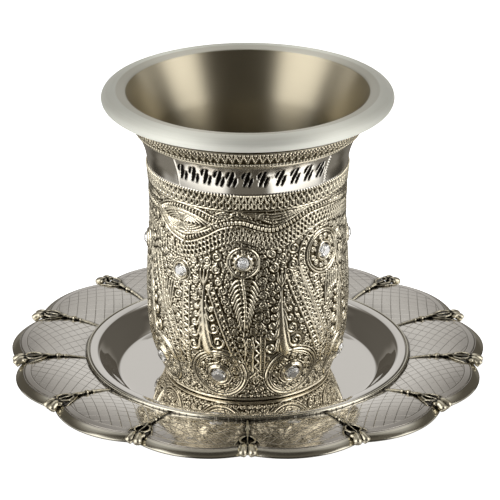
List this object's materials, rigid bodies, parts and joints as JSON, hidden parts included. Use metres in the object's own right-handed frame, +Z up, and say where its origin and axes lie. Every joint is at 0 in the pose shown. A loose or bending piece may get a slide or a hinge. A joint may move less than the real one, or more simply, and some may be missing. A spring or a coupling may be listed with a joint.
{
  "type": "kiddush cup with saucer",
  "caption": "Flared ceremonial wine cup: filigree-relief shell with set stones over a plain liner with a rolled rim, standing in a round saucer with engraved petals and cast ribs.",
  "frame": {"origin": "on the cup's axis, at the surface that the saucer stands on", "axes": "+Z up along the cup's axis; the cup's front, with the middle of the marked band, faces -Y, and so does one rib of the saucer; +X to the right of the front"},
  "size_m": [0.128, 0.1279, 0.0814],
  "materials": {
    "mirror_nickel": "polished nickel plate, with engraved lines on the petals and darkened recesses in the cast ribs",
    "antique_silver": "silver plate on a relief casting, darkened in the recesses and rubbed bright on the tops",
    "satin_steel": "satin stainless steel",
    "crystal": "clear cut glass stones"
  },
  "bodies": {
    "root": {"saucer": "mirror_nickel", "cup_shell": "antique_silver", "cup_liner": "satin_steel", "stone_lower_1": "crystal", "stone_lower_2": "crystal", "stone_lower_3": "crystal", "stone_lower_4": "crystal", "stone_lower_5": "crystal", "stone_lower_6": "crystal", "stone_lower_7": "crystal", "stone_lower_8": "crystal", "stone_upper_1": "crystal", "stone_upper_2": "crystal", "stone_upper_3": "crystal", "stone_upper_4": "crystal", "stone_upper_5": "crystal", "stone_upper_6": "crystal", "stone_upper_7": "crystal", "stone_upper_8": "crystal"}
  },
  "joints": []
}
